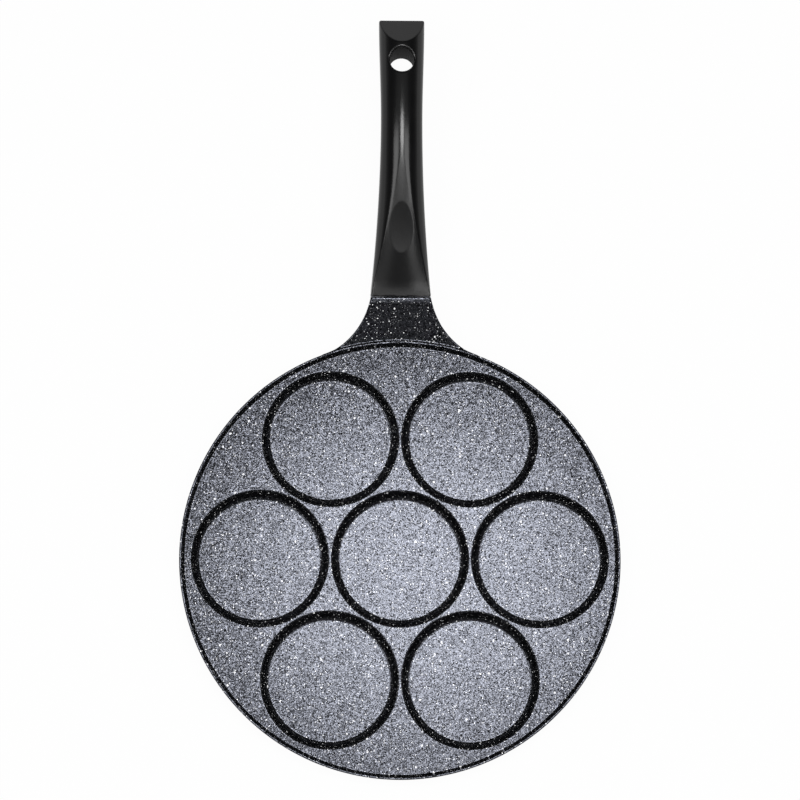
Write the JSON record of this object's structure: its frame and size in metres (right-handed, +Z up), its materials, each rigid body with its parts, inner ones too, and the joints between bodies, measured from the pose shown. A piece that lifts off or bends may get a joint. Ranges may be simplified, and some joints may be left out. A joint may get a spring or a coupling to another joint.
{
  "type": "egg pan",
  "caption": "Flat round frying pan with separate round cups for eggs, a low rim, a flared cast neck and a screwed-on arched handle with a hang hole.",
  "frame": {"origin": "on the surface that the pan stands on, under the middle of the centre cup", "axes": "+Y along the handle away from the pan, +Z up out of the cups, +X to the right"},
  "size_m": [0.2658, 0.4596, 0.0567],
  "materials": {
    "stone_coating": "die-cast aluminium with a satin grey speckled stone-look non-stick coating",
    "phenolic": "black moulded phenolic, satin",
    "screw_steel": "plain zinc-plated steel"
  },
  "bodies": {
    "root": {"pan_body": "stone_coating", "handle": "phenolic", "handle_screw": "screw_steel", "flat_washer": "screw_steel", "spring_washer": "screw_steel"}
  },
  "joints": []
}
